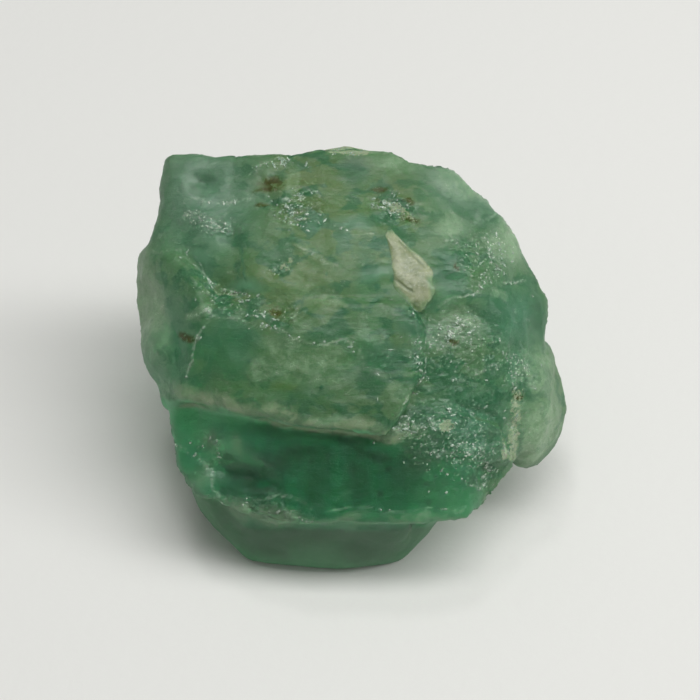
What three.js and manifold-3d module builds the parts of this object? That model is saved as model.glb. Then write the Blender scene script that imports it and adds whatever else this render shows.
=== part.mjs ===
// A raw emerald crystal: a rough, chunky piece of beryl, 22 mm across, that grew and broke as one
// stone. Its blocks are grown together: a stepped upper block with an old break across the top
// left, a smooth middle face that ends in a ridge, an undercut lower face, broken ground on the
// right, and two paler crystals grown into the left and right ends. It rests on a flat break.
//
// Frame: millimetres, +X along the stone, +Z up, the show face towards -Y. The origin is on the
// resting face, under the middle of the stone.
//
// Corners are given in the frame of the show face, the broad face that leans back from the
// viewer: u along it to the right, v up across it, w out of it. The foot of the front is at 0.

import * as THREE from "three";
import { ConvexGeometry } from "three/addons/geometries/ConvexGeometry.js";
import { mergeVertices } from "three/addons/utils/BufferGeometryUtils.js";
import Module from "manifold-3d";

const wasm = await Module();
wasm.setup();

// ---------------------------------------------------------------- driving dimensions

const SHOW_FACE_LEAN = 50; // degrees that the show face is turned back from upright
const HEART = [0, 10.5, -3.5]; // mm, the middle of the stone, where the grown blocks meet
const GROUND_BLOCK = 60; // mm, the block that cuts the resting face off flat
const SCAR_DETAIL = 6; // how finely the balls that leave the fracture scars are faceted
const MERGE = 1e-4; // mm, corners closer than this are one corner

const STONE_COLOUR = 0x4f7f58;
const STONE_ROUGHNESS = 0.32;

// ---------------------------------------------------------------- corners, mm, [u, v, w]

// The body of the stone, a little under the show face, with the back and the foot.
const CORE = [
  // under the show face, from the top edge down to the undercut
  [-9.2, 20.9, 0.3], [1.8, 21.3, 0.9], [7.6, 17.6, 0.2], [9.8, 13.9, 0.0], [-9.4, 13.6, 1.2],
  [-8.6, 15.2, 2.6], [-6.2, 15.2, 3.6], [-4.6, 14.2, 4.3], [3.6, 14.0, 4.5], [7.6, 12.4, 3.3],
  [9.5, 12.0, 0.5],
  [-8.9, 9.0, 2.2], [-6.0, 8.3, 4.4], [-2.5, 7.7, 5.2], [2.0, 7.0, 5.3], [7.8, 7.0, 2.2],
  [-8.3, 5.6, 1.4], [-5.4, 3.5, 3.2], [4.4, 3.6, 3.3], [7.6, 6.2, 0.8],
  // the back, one long break with lower ones round it
  [-8.2, 16.6, -5.0], [-1.0, 18.6, -6.0], [6.4, 15.6, -5.4], [8.9, 10.5, -4.6],
  [-9.2, 12.6, -4.4], [-5.4, 11.8, -8.8], [4.6, 11.6, -9.2],
  // the foot
  [-6.6, 2.2, 1.0], [-5.1, -0.2, -0.6], [-1.2, -0.6, -0.4], [2.4, -0.2, -0.6], [5.2, 4.4, -3.4],
  [5.4, 8.4, -7.8], [-4.2, 8.8, -8.0], [-7.3, 5.6, -5.2], [-7.1, 2.0, -1.8],
];

// The blocks of the main crystal, each with the corners of the faces that it shows.
const UPPER_BLOCK = [
  [-5.7, 21.6, 1.4], [-2.1, 21.6, 1.6], [1.8, 21.8, 1.4], [3.4, 21.3, 1.2], [4.8, 20.8, 1.0],
  [6.5, 19.5, 0.8], [8.0, 17.9, 0.6], [8.6, 17.2, 0.5], [9.2, 16.2, 0.5], [10.0, 14.9, 0.4],
  [10.35, 14.0, 0.4], [10.35, 12.8, 0.6],
  [-6.0, 15.9, 3.7], [-5.0, 14.0, 4.6], [0.0, 13.4, 5.1], [4.2, 14.2, 5.1], [6.9, 14.2, 4.4],
  [7.9, 12.5, 3.8], [-2.0, 18.4, 3.5], [4.0, 18.0, 3.4],
];
const UPPER_STEP = [
  [-5.7, 17.9, 3.3], [-3.6, 18.9, 3.2], [0.4, 18.7, 3.5], [2.4, 17.2, 4.0], [2.3, 15.3, 4.9],
  [0.8, 14.6, 5.2], [-3.0, 14.3, 5.2], [-5.2, 14.9, 4.7],
];
const TOP_LEFT_BLOCK = [
  [-9.7, 21.5, 0.6], [-9.3, 21.7, 1.1], [-5.2, 21.5, 1.3], [-10.0, 18.5, 0.7], [-10.0, 16.8, 0.7],
  [-9.5, 16.0, 2.1], [-5.0, 17.6, 3.0], [-6.2, 15.2, 4.0],
];
const MIDDLE_BLOCK = [
  [-7.9, 14.1, 4.0], [-7.2, 13.2, 4.8], [-2.6, 12.2, 5.7], [0.3, 13.9, 5.5], [3.0, 13.8, 5.4],
  [3.7, 12.7, 5.4], [3.6, 10.3, 5.7], [2.6, 8.4, 6.0], [1.8, 7.2, 6.2], [-0.3, 7.5, 6.4],
  [-2.7, 7.8, 6.1], [-6.0, 8.5, 5.4], [-8.6, 8.9, 3.6],
];
const LOWER_BLOCK = [
  [-9.1, 9.2, 1.7], [-6.0, 9.0, 4.4], [-2.5, 8.4, 5.3], [1.9, 7.8, 5.4], [6.0, 6.1, 4.8],
  [-8.6, 5.5, 2.0], [-7.7, 4.1, 2.7], [-5.8, 3.2, 3.8], [-2.5, 2.8, 4.6], [2.5, 2.8, 4.7],
  [6.0, 2.9, 4.1], [6.9, 3.8, 2.6],
];
const RIGHT_BLOCK = [
  [4.0, 13.5, 4.7], [7.1, 13.9, 4.2], [7.9, 11.7, 3.7], [10.2, 12.9, 0.7], [10.1, 11.7, 0.6],
  [8.6, 8.9, 3.0],
  [8.4, 5.4, 1.9], [7.3, 3.9, 2.4], [5.6, 9.4, 4.9], [3.5, 11.5, 5.0], [3.1, 6.0, 5.0],
];
const RIGHT_SHARD = [
  [2.9, 7.9, 5.5], [5.0, 8.6, 5.3], [7.7, 7.6, 4.0], [8.2, 5.9, 2.9], [5.6, 5.2, 4.7],
  [3.4, 6.4, 5.6],
];

// The paler crystals grown into the two ends.
const LEFT_CRYSTAL = [
  [-10.1, 16.8, 0.9], [-10.8, 16.4, 0.2], [-11.1, 15.1, 0.1], [-11.2, 13.9, 0.2],
  [-11.1, 12.9, 0.4], [-10.6, 11.3, 0.8], [-9.8, 9.9, 1.2], [-9.4, 8.6, 1.4], [-9.1, 16.3, 2.7],
  [-8.2, 15.6, 3.8], [-7.4, 14.4, 4.6], [-7.3, 13.0, 5.0], [-7.6, 11.0, 4.9], [-8.2, 9.1, 4.3],
];
const RIGHT_CRYSTAL = [
  [10.2, 12.1, -0.2], [10.7, 11.6, -0.7], [10.9, 10.7, -0.9], [11.2, 9.6, -1.0],
  [11.5, 8.4, -1.0], [11.3, 7.2, -1.0], [10.7, 6.2, -0.7], [9.8, 5.4, -0.1], [8.9, 5.2, 0.6],
  [8.8, 11.5, 2.0], [9.8, 9.9, 2.2], [10.1, 8.4, 2.1], [9.6, 6.5, 1.8], [8.3, 8.9, 3.2],
  [8.5, 6.8, 2.8],
];

// The blocks that stand out of the broken back.
const BACK_BLOCKS = {
  top: [
    [-8.7, 19.6, -0.9], [-3.2, 20.8, -1.6], [2.2, 20.7, -1.4], [0.8, 19.5, -4.4],
    [-5.2, 18.5, -4.8],
  ],
  shoulder: [
    [4.4, 19.7, -0.5], [8.0, 17.0, -0.9], [9.6, 13.6, -2.2], [6.8, 16.2, -4.4], [3.0, 18.6, -4.2],
  ],
  left: [
    [-8.5, 16.9, -4.0], [-2.4, 18.9, -5.4], [-1.6, 17.0, -7.4], [-3.0, 13.4, -8.8],
    [-7.2, 13.4, -7.3], [-9.3, 14.6, -4.2],
  ],
  right: [
    [1.4, 17.9, -6.3], [6.5, 15.7, -5.6], [8.5, 12.4, -5.2], [7.0, 10.6, -7.8], [2.2, 12.2, -9.1],
    [8.2, 9.6, -5.8],
  ],
};

// The lump on the undercut below the front edge.
const UNDERCUT_BLOCK = [
  [-4.9, 3.2, 3.2], [-1.4, 3.0, 4.0], [3.2, 3.0, 4.0], [2.9, 1.6, 1.7], [2.2, 0.1, -0.1],
  [-0.6, -0.1, 0.3], [-4.5, 0.1, -0.1], [-5.3, 1.7, 1.5],
];

// The crumb of host rock left on the top edge.
const TOP_CRUMB = [
  [-1.7, 21.5, 1.2], [-1.5, 21.8, 0.8], [-0.8, 22.1, 0.6], [0.0, 22.0, 0.6], [1.1, 21.8, 0.8],
  [-0.5, 21.2, 1.8], [0.8, 21.3, 1.7],
];

// Bites broken out of the show face: the corners of the floor and of the rim, and one far out.
const BITES = {
  lowerLeft: [
    [-6.7, 5.3, 2.7], [-4.7, 4.9, 3.4], [-8.4, 6.6, 3.2], [-5.6, 8.1, 5.0], [-2.7, 6.4, 5.7],
    [-2.0, 4.3, 5.2], [-4.8, 4.1, 4.9], [-6.8, 4.2, 4.0], [-8.0, 5.2, 3.2], [-5.5, 5.5, 9.0],
  ],
  topLeft: [
    [-7.9, 20.1, 1.0], [-7.1, 20.0, 1.3], [-8.7, 20.3, 2.0], [-7.7, 21.0, 2.0], [-6.4, 20.7, 2.1],
    [-6.4, 19.6, 2.5], [-7.2, 19.1, 2.5], [-8.4, 19.3, 2.2], [-7.5, 20.0, 6.0],
  ],
};

// Fracture scars: a ball, drawn out along u, v and w, bites a shallow shell out of the back.
const SCARS = {
  back: { centre: [-2.5, 24.2, -11.6], radii: [9.0, 8.0, 8.0] },
  backLow: { centre: [8.6, 9.0, -12.6], radii: [6.0, 7.5, 6.4] },
  footRight: { centre: [11.8, 1.4, -3.0], radii: [5.0, 4.6, 6.0] },
};

// ---------------------------------------------------------------- solids

// u stays along X; v and w, lying flat as Y and Z, are tipped up about it.
const TIP = new THREE.Matrix4().makeRotationX(THREE.MathUtils.degToRad(90 - SHOW_FACE_LEAN));

/** A corner given in the show face's frame, as a point of the part's frame. */
function corner([u, v, w]) {
  return new THREE.Vector3(u, v, w).applyMatrix4(TIP);
}

/** A closed geometry as a solid for cutting and joining. */
function solidOf(geometry) {
  const bare = geometry.clone();
  bare.deleteAttribute("normal");
  bare.deleteAttribute("uv");
  const merged = mergeVertices(bare, MERGE);
  return new wasm.Manifold(
    new wasm.Mesh({
      numProp: 3,
      vertProperties: merged.attributes.position.array,
      triVerts: new Uint32Array(merged.index.array),
    }),
  );
}

/** The convex solid round these corners. */
function chunk(corners) {
  return solidOf(new ConvexGeometry(corners.map(corner)));
}

/** A block that shows these corners and tapers back to the heart of the stone. */
function grownBlock(corners) {
  return chunk([...corners, HEART]);
}

/** The drawn-out ball that leaves one fracture scar. */
function scarBall({ centre, radii }) {
  const at = corner(centre);
  const ball = new THREE.IcosahedronGeometry(1, SCAR_DETAIL).scale(...radii).applyMatrix4(TIP);
  return solidOf(ball.translate(at.x, at.y, at.z));
}

/** The block under the foot, whose top is the plane that the stone rests on. */
function groundBlock() {
  const side = GROUND_BLOCK;
  return solidOf(new THREE.BoxGeometry(side, side, side).translate(0, 0, -side / 2));
}

function buildStone() {
  const blocks = [
    UPPER_BLOCK,
    UPPER_STEP,
    TOP_LEFT_BLOCK,
    MIDDLE_BLOCK,
    LOWER_BLOCK,
    RIGHT_BLOCK,
    RIGHT_SHARD,
    LEFT_CRYSTAL,
    RIGHT_CRYSTAL,
    TOP_CRUMB,
    UNDERCUT_BLOCK,
    ...Object.values(BACK_BLOCKS),
  ];
  let stone = chunk(CORE);
  for (const block of blocks) stone = stone.add(grownBlock(block));
  for (const bite of Object.values(BITES)) stone = stone.subtract(chunk(bite));
  for (const scar of Object.values(SCARS)) stone = stone.subtract(scarBall(scar));
  return stone.subtract(groundBlock());
}

/** The solid as a geometry whose origin is at the bottom centre of its box. */
function settled(solid) {
  const { vertProperties, triVerts } = solid.getMesh();
  const geometry = new THREE.BufferGeometry()
    .setAttribute("position", new THREE.BufferAttribute(vertProperties, 3))
    .setIndex(new THREE.BufferAttribute(triVerts, 1));
  geometry.computeBoundingBox();
  const { min, max } = geometry.boundingBox;
  return geometry.translate(-(min.x + max.x) / 2, -(min.y + max.y) / 2, -min.z);
}

// ---------------------------------------------------------------- the object

const stone = new THREE.Mesh(
  settled(buildStone()),
  new THREE.MeshStandardMaterial({
    color: STONE_COLOUR,
    roughness: STONE_ROUGHNESS,
    metalness: 0,
  }),
);
stone.name = "emerald_crystal";

const object = new THREE.Group();
object.name = "raw_emerald_crystal";
object.add(stone);

export default object;
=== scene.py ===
"""A raw emerald crystal, finished: glassy breaks, milky veils, paler crystals grown into its ends,
a cream sliver, crumbs of host rock and what is sealed inside.

Laid out as an add-on and run as a script. Everything is in the part's frame, metres, +Z up. The
stone's own features are placed in the frame of its show face, in millimetres: u along the face to
the right, v up across it, w out of it, all from the foot of the stone's front.
"""

import math

import bmesh
import bpy
import numpy as np
from bpy.props import FloatProperty, FloatVectorProperty, IntProperty, PointerProperty
from mathutils import Matrix, Vector
from mathutils.bvhtree import BVHTree


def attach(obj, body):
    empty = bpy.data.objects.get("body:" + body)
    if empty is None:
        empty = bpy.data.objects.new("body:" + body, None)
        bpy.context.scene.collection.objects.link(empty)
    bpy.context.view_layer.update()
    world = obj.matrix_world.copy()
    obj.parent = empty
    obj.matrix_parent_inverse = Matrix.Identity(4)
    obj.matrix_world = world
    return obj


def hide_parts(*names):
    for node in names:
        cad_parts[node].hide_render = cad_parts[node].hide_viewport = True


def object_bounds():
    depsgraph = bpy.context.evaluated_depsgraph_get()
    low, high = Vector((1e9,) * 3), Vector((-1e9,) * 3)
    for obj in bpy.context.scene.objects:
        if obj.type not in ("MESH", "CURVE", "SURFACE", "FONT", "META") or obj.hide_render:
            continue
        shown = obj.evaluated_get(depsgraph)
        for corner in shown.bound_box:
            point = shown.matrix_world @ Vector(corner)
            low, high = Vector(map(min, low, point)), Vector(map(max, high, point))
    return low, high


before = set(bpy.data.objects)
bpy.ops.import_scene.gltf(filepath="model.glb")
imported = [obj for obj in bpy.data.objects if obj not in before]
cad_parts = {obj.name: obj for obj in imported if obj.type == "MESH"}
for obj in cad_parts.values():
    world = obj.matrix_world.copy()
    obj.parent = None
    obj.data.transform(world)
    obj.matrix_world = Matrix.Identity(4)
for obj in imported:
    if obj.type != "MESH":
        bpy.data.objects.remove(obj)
LOW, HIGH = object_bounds()

bl_info = {
    "name": "Raw Emerald Crystal",
    "version": (1, 0, 0),
    "blender": (4, 5, 0),
    "location": "3D View > Sidebar > Emerald",
    "description": "Builds a raw emerald crystal on its packed frame",
    "category": "Object",
}

CRYSTAL_NODE = "emerald_crystal"
BODY = "root"

MM = 0.001
MILLIMETRES = Matrix.Scale(1 / MM, 4)
METRES = Matrix.Scale(MM, 4)

# Beryl: how strongly it bends light, and how quickly it absorbs it, to the metre.
BERYL_IOR = 1.58
BERYL_DENSITY = 90.0

ABOUT_ONE_TURN = 6.28

# The frame of the show face.
LEAN = math.radians(50)
ALONG = Vector((1, 0, 0))
UP_FACE = Vector((0, math.sin(LEAN), math.cos(LEAN)))
OUT = Vector((0, -math.cos(LEAN), math.sin(LEAN)))
FOOT_FROM_MIDDLE = -0.15 * MM
FOOT_FROM_FRONT = 0.876 * MM
FOOT = Vector(((LOW.x + HIGH.x) / 2 + FOOT_FROM_MIDDLE, LOW.y + FOOT_FROM_FRONT, LOW.z))


# ------------------------------------------------------------------ places on the show face


def from_face(u, v, w):
    """A point given on the show face, in millimetres, as a point of the part's frame."""
    return FOOT + (ALONG * u + UP_FACE * v + OUT * w) * MM


def face_coordinates(points_mm):
    """Points of the part's frame, in millimetres, as rows of u, v, w."""
    axes = np.array([ALONG, UP_FACE, OUT])
    return (points_mm - np.array(FOOT) / MM) @ axes.T


def smooth_step(low, high, values):
    """0 below low, 1 above high and a smooth rise between them."""
    share = np.clip((values - low) / (high - low), 0, 1)
    return share * share * (3 - 2 * share)


def wavy(points, size, seed):
    """Smooth random values from about -1 to 1 that change over a distance of size."""
    random = np.random.default_rng(seed)
    waves = 12
    directions = random.normal(size=(3, waves)) / size
    phases = random.uniform(0, 2 * math.pi, waves)
    return np.sin(points @ directions + phases).sum(axis=1) / math.sqrt(waves)


def patch(face, centre, radii, turn=0.0, soft=0.5):
    """An oval patch on the show face: 1 inside, 0 outside, with an edge that is soft that share."""
    angle = math.radians(turn)
    u, v = face[:, 0] - centre[0], face[:, 1] - centre[1]
    along = (u * math.cos(angle) + v * math.sin(angle)) / radii[0]
    across = (v * math.cos(angle) - u * math.sin(angle)) / radii[1]
    return 1 - smooth_step(1 - soft, 1 + soft, np.hypot(along, across))


def clouds(points, size, seed, low=0.3, high=1.1):
    """Soft random patches, from 0 between them to 1 inside."""
    return smooth_step(low, high, wavy(points, size, seed))


def patches(face, ovals, soft=0.5):
    """The union of several oval patches, each (centre, radii, turn in degrees)."""
    together = np.zeros(len(face))
    for centre, radii, turn in ovals:
        together = np.maximum(together, patch(face, centre, radii, turn, soft))
    return together


def line_distance(face, points):
    """How far each point is from a drawn line on the show face, and which side it is on."""
    nearest = np.full(len(face), np.inf)
    side = np.zeros(len(face))
    spots = face[:, :2]
    for start, end in zip(points, points[1:]):
        start, end = np.array(start), np.array(end)
        run = end - start
        share = np.clip(((spots - start) @ run) / (run @ run), 0, 1)
        away = spots - (start + share[:, None] * run)
        distance = np.hypot(away[:, 0], away[:, 1])
        closer = distance < nearest
        nearest = np.where(closer, distance, nearest)
        side = np.where(closer, np.sign(run[0] * away[:, 1] - run[1] * away[:, 0]), side)
    return nearest, side


# ------------------------------------------------------------------ where the finishes lie
# Ovals on the show face: centre, radii in millimetres and turn in degrees.

# Clear, deep green windows.
WINDOWS = [
    ((-8.1, 19.7), (0.46, 0.46), 0),
    ((-1.7, 17.7), (0.5, 0.4), 0),
    ((-7.6, 16.4), (0.51, 0.28), -20),
    ((-6.1, 11.7), (1.32, 1.43), 0),
    ((1.4, 15.4), (0.4, 0.8), -70),
    ((2.7, 12.9), (0.71, 0.66), -35),
    ((0.8, 17.9), (1.02, 0.33), 3),
    ((4.9, 15.1), (0.61, 0.76), 0),
    ((9.7, 13.2), (0.51, 1.27), 0),
    ((-5.6, 5.3), (1.88, 1.12), -35),
    ((-3.3, 6.1), (0.71, 1.63), -75),
    ((0.3, 5.3), (0.81, 1.53), 0),
    ((3.0, 5.3), (1.63, 1.53), 0),
    ((-9.5, 11.7), (0.66, 0.76), 0),
    ((4.6, 7.0), (0.56, 0.41), 0),
    ((7.4, 7.6), (0.76, 0.31), 10),
    ((7.7, 6.0), (0.51, 0.38), 0),
    ((1.3, 10.9), (0.81, 1.02), -60),
    ((0.2, 20.5), (0.71, 0.66), 0),
    ((-5.3, 14.6), (0.87, 0.41), 0),
    ((-1.8, 5.3), (0.76, 1.53), 0),
]

# Milky veils and the pale crystals grown into the ends.
MILKY = [
    ((-10.4, 14.4), (0.9, 2.6), 4),
    ((-2.5, 10.9), (2.54, 1.17), -5),
    ((-4.4, 10.3), (0.81, 0.56), -20),
    ((-1.0, 8.1), (1.07, 0.31), 0),
    ((-6.1, 8.6), (2.04, 0.41), -8),
    ((4.9, 17.7), (0.76, 0.53), 0),
    ((7.9, 17.0), (0.89, 0.97), -60),
    ((5.3, 12.9), (1.2, 0.7), 15),
    ((7.7, 14.3), (0.38, 0.31), 0),
    ((9.6, 10.6), (0.84, 1.5), 10),
    ((9.8, 7.2), (1.2, 1.88), 0),
    ((8.3, 7.7), (0.36, 1.4), 0),
    ((2.7, 9.2), (0.46, 0.92), 70),
    ((-6.9, 6.8), (0.56, 0.38), 0),
    ((-5.6, 3.4), (3.05, 0.66), -8),
    ((-1.2, 14.2), (1.0, 0.5), 0),
    ((-7.6, 13.4), (0.56, 0.31), 0),
    ((-6.1, 14.2), (0.56, 0.31), -20),
    ((2.0, 21.4), (1.53, 0.76), -10),
    ((3.4, 7.6), (0.7, 0.4), -20),
    ((-3.0, 19.9), (0.43, 1.02), 0),
    ((5.6, 20.1), (1.02, 1.02), -20),
    # Painted highlight: the last, a long pale strip along the front's bottom edge, where that edge catches
    # light.
    ((1.5, 3.0), (5.0, 0.3), 0),
]

# Warm and cool greens.
OLIVE = [
    ((-4.1, 19.9), (1.07, 0.64), 0),
    ((-1.0, 19.8), (0.94, 0.71), 0),
    ((0.3, 20.5), (0.79, 0.64), 0),
    ((-4.7, 14.4), (1.7, 0.7), -10),
    ((-4.0, 13.2), (0.51, 0.76), 0),
    ((0.8, 18.0), (1.02, 0.51), 0),
    ((1.5, 15.7), (0.46, 0.89), 0),
    ((2.7, 12.9), (0.61, 0.53), 0),
    ((3.6, 17.4), (1.02, 0.89), 0),
    ((-7.3, 11.0), (0.36, 0.69), 0),
    ((-2.9, 14.9), (2.6, 1.6), 0),
    ((-0.9, 17.6), (2.6, 1.6), -8),
    ((-2.6, 20.2), (2.2, 1.0), 0),
    ((-4.9, 14.2), (1.5, 0.6), -15),
    ((2.6, 19.2), (1.6, 1.0), -20),
    ((2.2, 12.2), (0.64, 0.51), 0),
    ((-3.2, 9.4), (0.64, 0.25), 0),
]
TEAL = [
    ((-7.4, 19.0), (2.29, 2.42), 0),
    ((-8.9, 11.5), (1.27, 2.54), 0),
    ((-6.5, 5.9), (2.67, 2.04), 0),
    ((8.4, 13.1), (1.78, 1.65), 0),
    ((6.2, 7.6), (2.4, 2.2), 0),
    ((5.0, 15.1), (0.64, 0.84), 0),
    ((6.6, 19.9), (2.04, 1.78), -30),
    ((8.7, 10.7), (1.02, 1.27), 0),
]

# Hazy, greyer ground: partly the stone's grey cloudiness, partly a painted sheen of the light above.
HAZE_AND_SHEEN = [
    ((-7.6, 19.4), (2.6, 2.2), 0),
    ((-10.2, 14.0), (0.9, 2.6), 4),
    ((5.4, 19.6), (2.6, 1.8), -35),
    ((8.2, 16.9), (1.3, 1.6), -50),
    ((5.0, 17.2), (1.6, 1.0), 0),
    ((4.6, 12.4), (1.6, 1.0), 10),
]

# Iron stain in the cracks.
STAINED = [
    ((-4.1, 19.9), (0.51, 0.28), 0),
    ((-4.3, 19.5), (0.53, 0.13), 0),
    ((1.6, 19.6), (0.36, 0.15), 10),
    ((3.0, 18.1), (0.36, 0.15), -10),
    ((3.0, 18.9), (0.15, 0.1), 0),
    ((-8.0, 12.1), (0.38, 0.23), -30),
    ((8.5, 9.1), (0.25, 0.15), 0),
    ((-4.5, 18.6), (0.31, 0.1), 0),
    ((-3.9, 13.2), (0.4, 0.14), -10),
    ((5.1, 15.6), (0.08, 0.18), 60),
    ((5.0, 11.7), (0.23, 0.15), 0),
]

# Cream host rock still on the stone.
RIND = [
    ((-0.2, 21.8), (1.3, 0.55), -4),
    ((-3.2, 15.6), (0.2, 0.16), 0),
    ((-2.85, 15.78), (0.14, 0.13), 0),
    ((-2.5, 15.6), (0.13, 0.08), 0),
    ((-3.0, 15.35), (0.12, 0.08), 0),
    ((8.2, 6.2), (0.4, 0.35), 0),
    ((3.0, 18.2), (0.3, 0.12), -20),
    ((2.0, 18.8), (0.16, 0.2), 20),
    ((2.4, 18.5), (0.4, 0.24), -10),
    ((4.9, 7.6), (0.4, 0.3), 30),
]

# The rusty vein beside the right-hand crystal.
VEIN = [(8.5, 9.3), (8.3, 8.6), (8.45, 7.9), (8.25, 7.1), (8.3, 6.2)]

# Where the crystal's own edges stay sharp.
CRISP = [
    ((10.2, 8.0), (1.4, 2.8), 0),
    ((-10.4, 14.0), (0.9, 2.6), 4),
    ((-9.6, 20.6), (1.2, 1.2), 0),
    ((2.0, 3.0), (7.0, 0.5), 0),
    ((0.0, 21.6), (2.0, 0.8), 0),
]

# Splintered and glassy places.
BROKEN = [
    ((5.4, 11.6), (2.2, 1.8), 0),
    ((5.4, 6.8), (2.9, 2.3), -10),
    ((8.3, 10.4), (1.2, 1.3), 0),
    ((-6.6, 14.3), (1.8, 0.8), -25),
    ((-2.6, 18.4), (1.4, 1.0), 0),
    ((6.4, 15.9), (1.3, 1.6), -20),
    ((-7.2, 17.9), (1.5, 0.5), -15),
    ((2.2, 18.4), (1.2, 0.8), -20),
    ((3.3, 13.4), (0.8, 0.6), 0),
    ((-3.2, 13.0), (1.0, 0.6), 0),
    ((-3.5, 15.5), (0.6, 0.4), 0),
    ((-4.4, 3.6), (2.6, 0.6), -10),
    ((-7.0, 6.2), (1.1, 0.8), -30),
]
SMOOTH = [
    ((-3.6, 10.6), (4.2, 1.7), -6),
    ((-1.0, 5.6), (5.4, 1.6), -2),
    ((9.0, 13.2), (1.4, 1.3), 0),
    ((-8.4, 19.4), (1.6, 1.6), 0),
    ((7.8, 17.2), (1.1, 1.2), -50),
]

# Deep shade under veils and in hollows.
DARK = [
    ((-6.4, 6.0), (0.9, 0.35), -35),
    ((-5.0, 5.1), (1.6, 0.5), -32),
    ((-3.9, 4.6), (0.9, 0.3), -15),
    ((-2.2, 6.4), (1.2, 0.3), -6),
    ((1.6, 6.3), (1.6, 0.25), -3),
    ((3.3, 11.0), (0.25, 0.9), 8),
    ((-8.2, 12.0), (0.5, 0.3), -20),
    ((4.0, 14.0), (0.5, 0.25), 0),
    ((7.3, 9.4), (0.6, 0.4), 0),
    ((6.4, 5.0), (0.7, 0.3), -30),
    ((-1.9, 17.6), (0.5, 0.4), 0),
    ((0.9, 16.9), (0.9, 0.35), 0),
    ((0.9, 15.4), (0.5, 1.1), 10),
    ((4.6, 15.6), (0.5, 0.7), 0),
    ((2.6, 13.1), (0.7, 0.5), -35),
    ((2.2, 11.0), (0.6, 1.1), 15),
    ((-6.4, 11.9), (1.0, 1.2), 0),
]

# Where the outline swells a little.
BULGING = [
    ((-10.0, 16.2), (1.2, 1.4), 0),
    ((7.4, 18.6), (1.6, 1.0), -45),
    ((5.6, 20.2), (1.2, 0.8), -30),
    ((-9.0, 7.2), (1.0, 2.4), 10),
    ((-9.9, 11.2), (0.8, 1.4), 0),
    ((-8.2, 3.9), (0.8, 1.6), 30),
]

# Frosted, paler skin; on the thin end crystals partly painted light, lighter as if lit through.
FROST_AND_GLOW = [
    ((-10.3, 14.2), (0.8, 2.2), 4),
    ((-9.4, 12.0), (0.5, 1.4), 10),
    ((8.3, 17.2), (0.8, 1.3), -35),
    ((6.2, 19.9), (1.3, 0.6), -40),
    ((9.7, 7.2), (1.15, 2.1), 0),
    ((8.9, 10.0), (0.6, 0.7), 0),
    ((-4.6, 3.3), (2.4, 0.5), -6),
    ((-7.6, 5.0), (0.35, 0.9), -30),
    ((-7.0, 6.9), (0.7, 0.45), -20),
    ((-5.4, 6.7), (0.25, 0.5), 20),
    ((4.9, 17.5), (0.7, 0.5), 0),
    ((-0.6, 8.1), (1.0, 0.3), -5),
]

# Small dark crystals sealed just under the surface.
FLECKED = [
    ((1.93, 5.55), (0.16, 0.12), 30),
    ((1.5, 4.3), (0.12, 0.16), 0),
    ((3.8, 4.75), (0.18, 0.1), -30),
    ((3.9, 3.9), (0.14, 0.14), 0),
    ((-1.9, 5.9), (0.1, 0.1), 0),
    ((-7.0, 11.6), (0.14, 0.1), 0),
    ((-5.0, 10.9), (0.1, 0.1), 0),
    ((-1.4, 9.6), (0.1, 0.1), 0),
    ((-5.1, 13.0), (0.14, 0.1), 20),
    ((-0.3, 13.3), (0.25, 0.14), 10),
    ((3.2, 12.4), (0.5, 0.2), -30),
]

# Where the breaks are worn nearly flat.
WORN = [
    ((-1.0, 13.9), (5.5, 1.3), -2),
    ((5.6, 13.6), (2.6, 1.3), -8),
    ((-8.0, 12.6), (1.2, 3.6), 8),
    ((-8.6, 15.6), (1.6, 1.2), -40),
    ((8.4, 12.4), (1.6, 1.2), 0),
    ((3.3, 10.3), (0.9, 3.0), 10),
    ((8.6, 8.4), (0.8, 2.4), 0),
    ((-6.4, 15.0), (2.6, 1.0), -25),
]

# Where chips of crushed beryl lie thickest.
GLITTER = [
    ((7.1, 15.9), (0.9, 1.2), -30),
    ((5.0, 16.9), (0.5, 0.2), 0),
    ((8.5, 10.7), (0.7, 0.6), 0),
    ((6.0, 6.2), (1.5, 0.6), -10),
    ((3.2, 7.9), (0.9, 0.5), 0),
    ((-2.9, 18.4), (1.0, 0.9), 0),
    ((-3.2, 15.6), (0.7, 0.3), 0),
    ((5.0, 12.2), (1.2, 0.7), 20),
    ((-7.2, 17.9), (1.2, 0.3), -15),
    ((-6.8, 14.8), (1.2, 0.35), -40),
    ((-4.6, 13.0), (0.9, 0.4), -10),
    ((2.0, 18.6), (0.7, 0.5), 0),
    ((7.0, 5.2), (0.5, 0.5), 0),
    ((3.4, 10.6), (0.3, 1.4), 10),
    ((-3.6, 20.9), (1.6, 0.2), 0),
    ((-0.2, 21.6), (0.9, 0.3), 0),
    ((-6.5, 6.6), (0.5, 0.3), 0),
]

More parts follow.
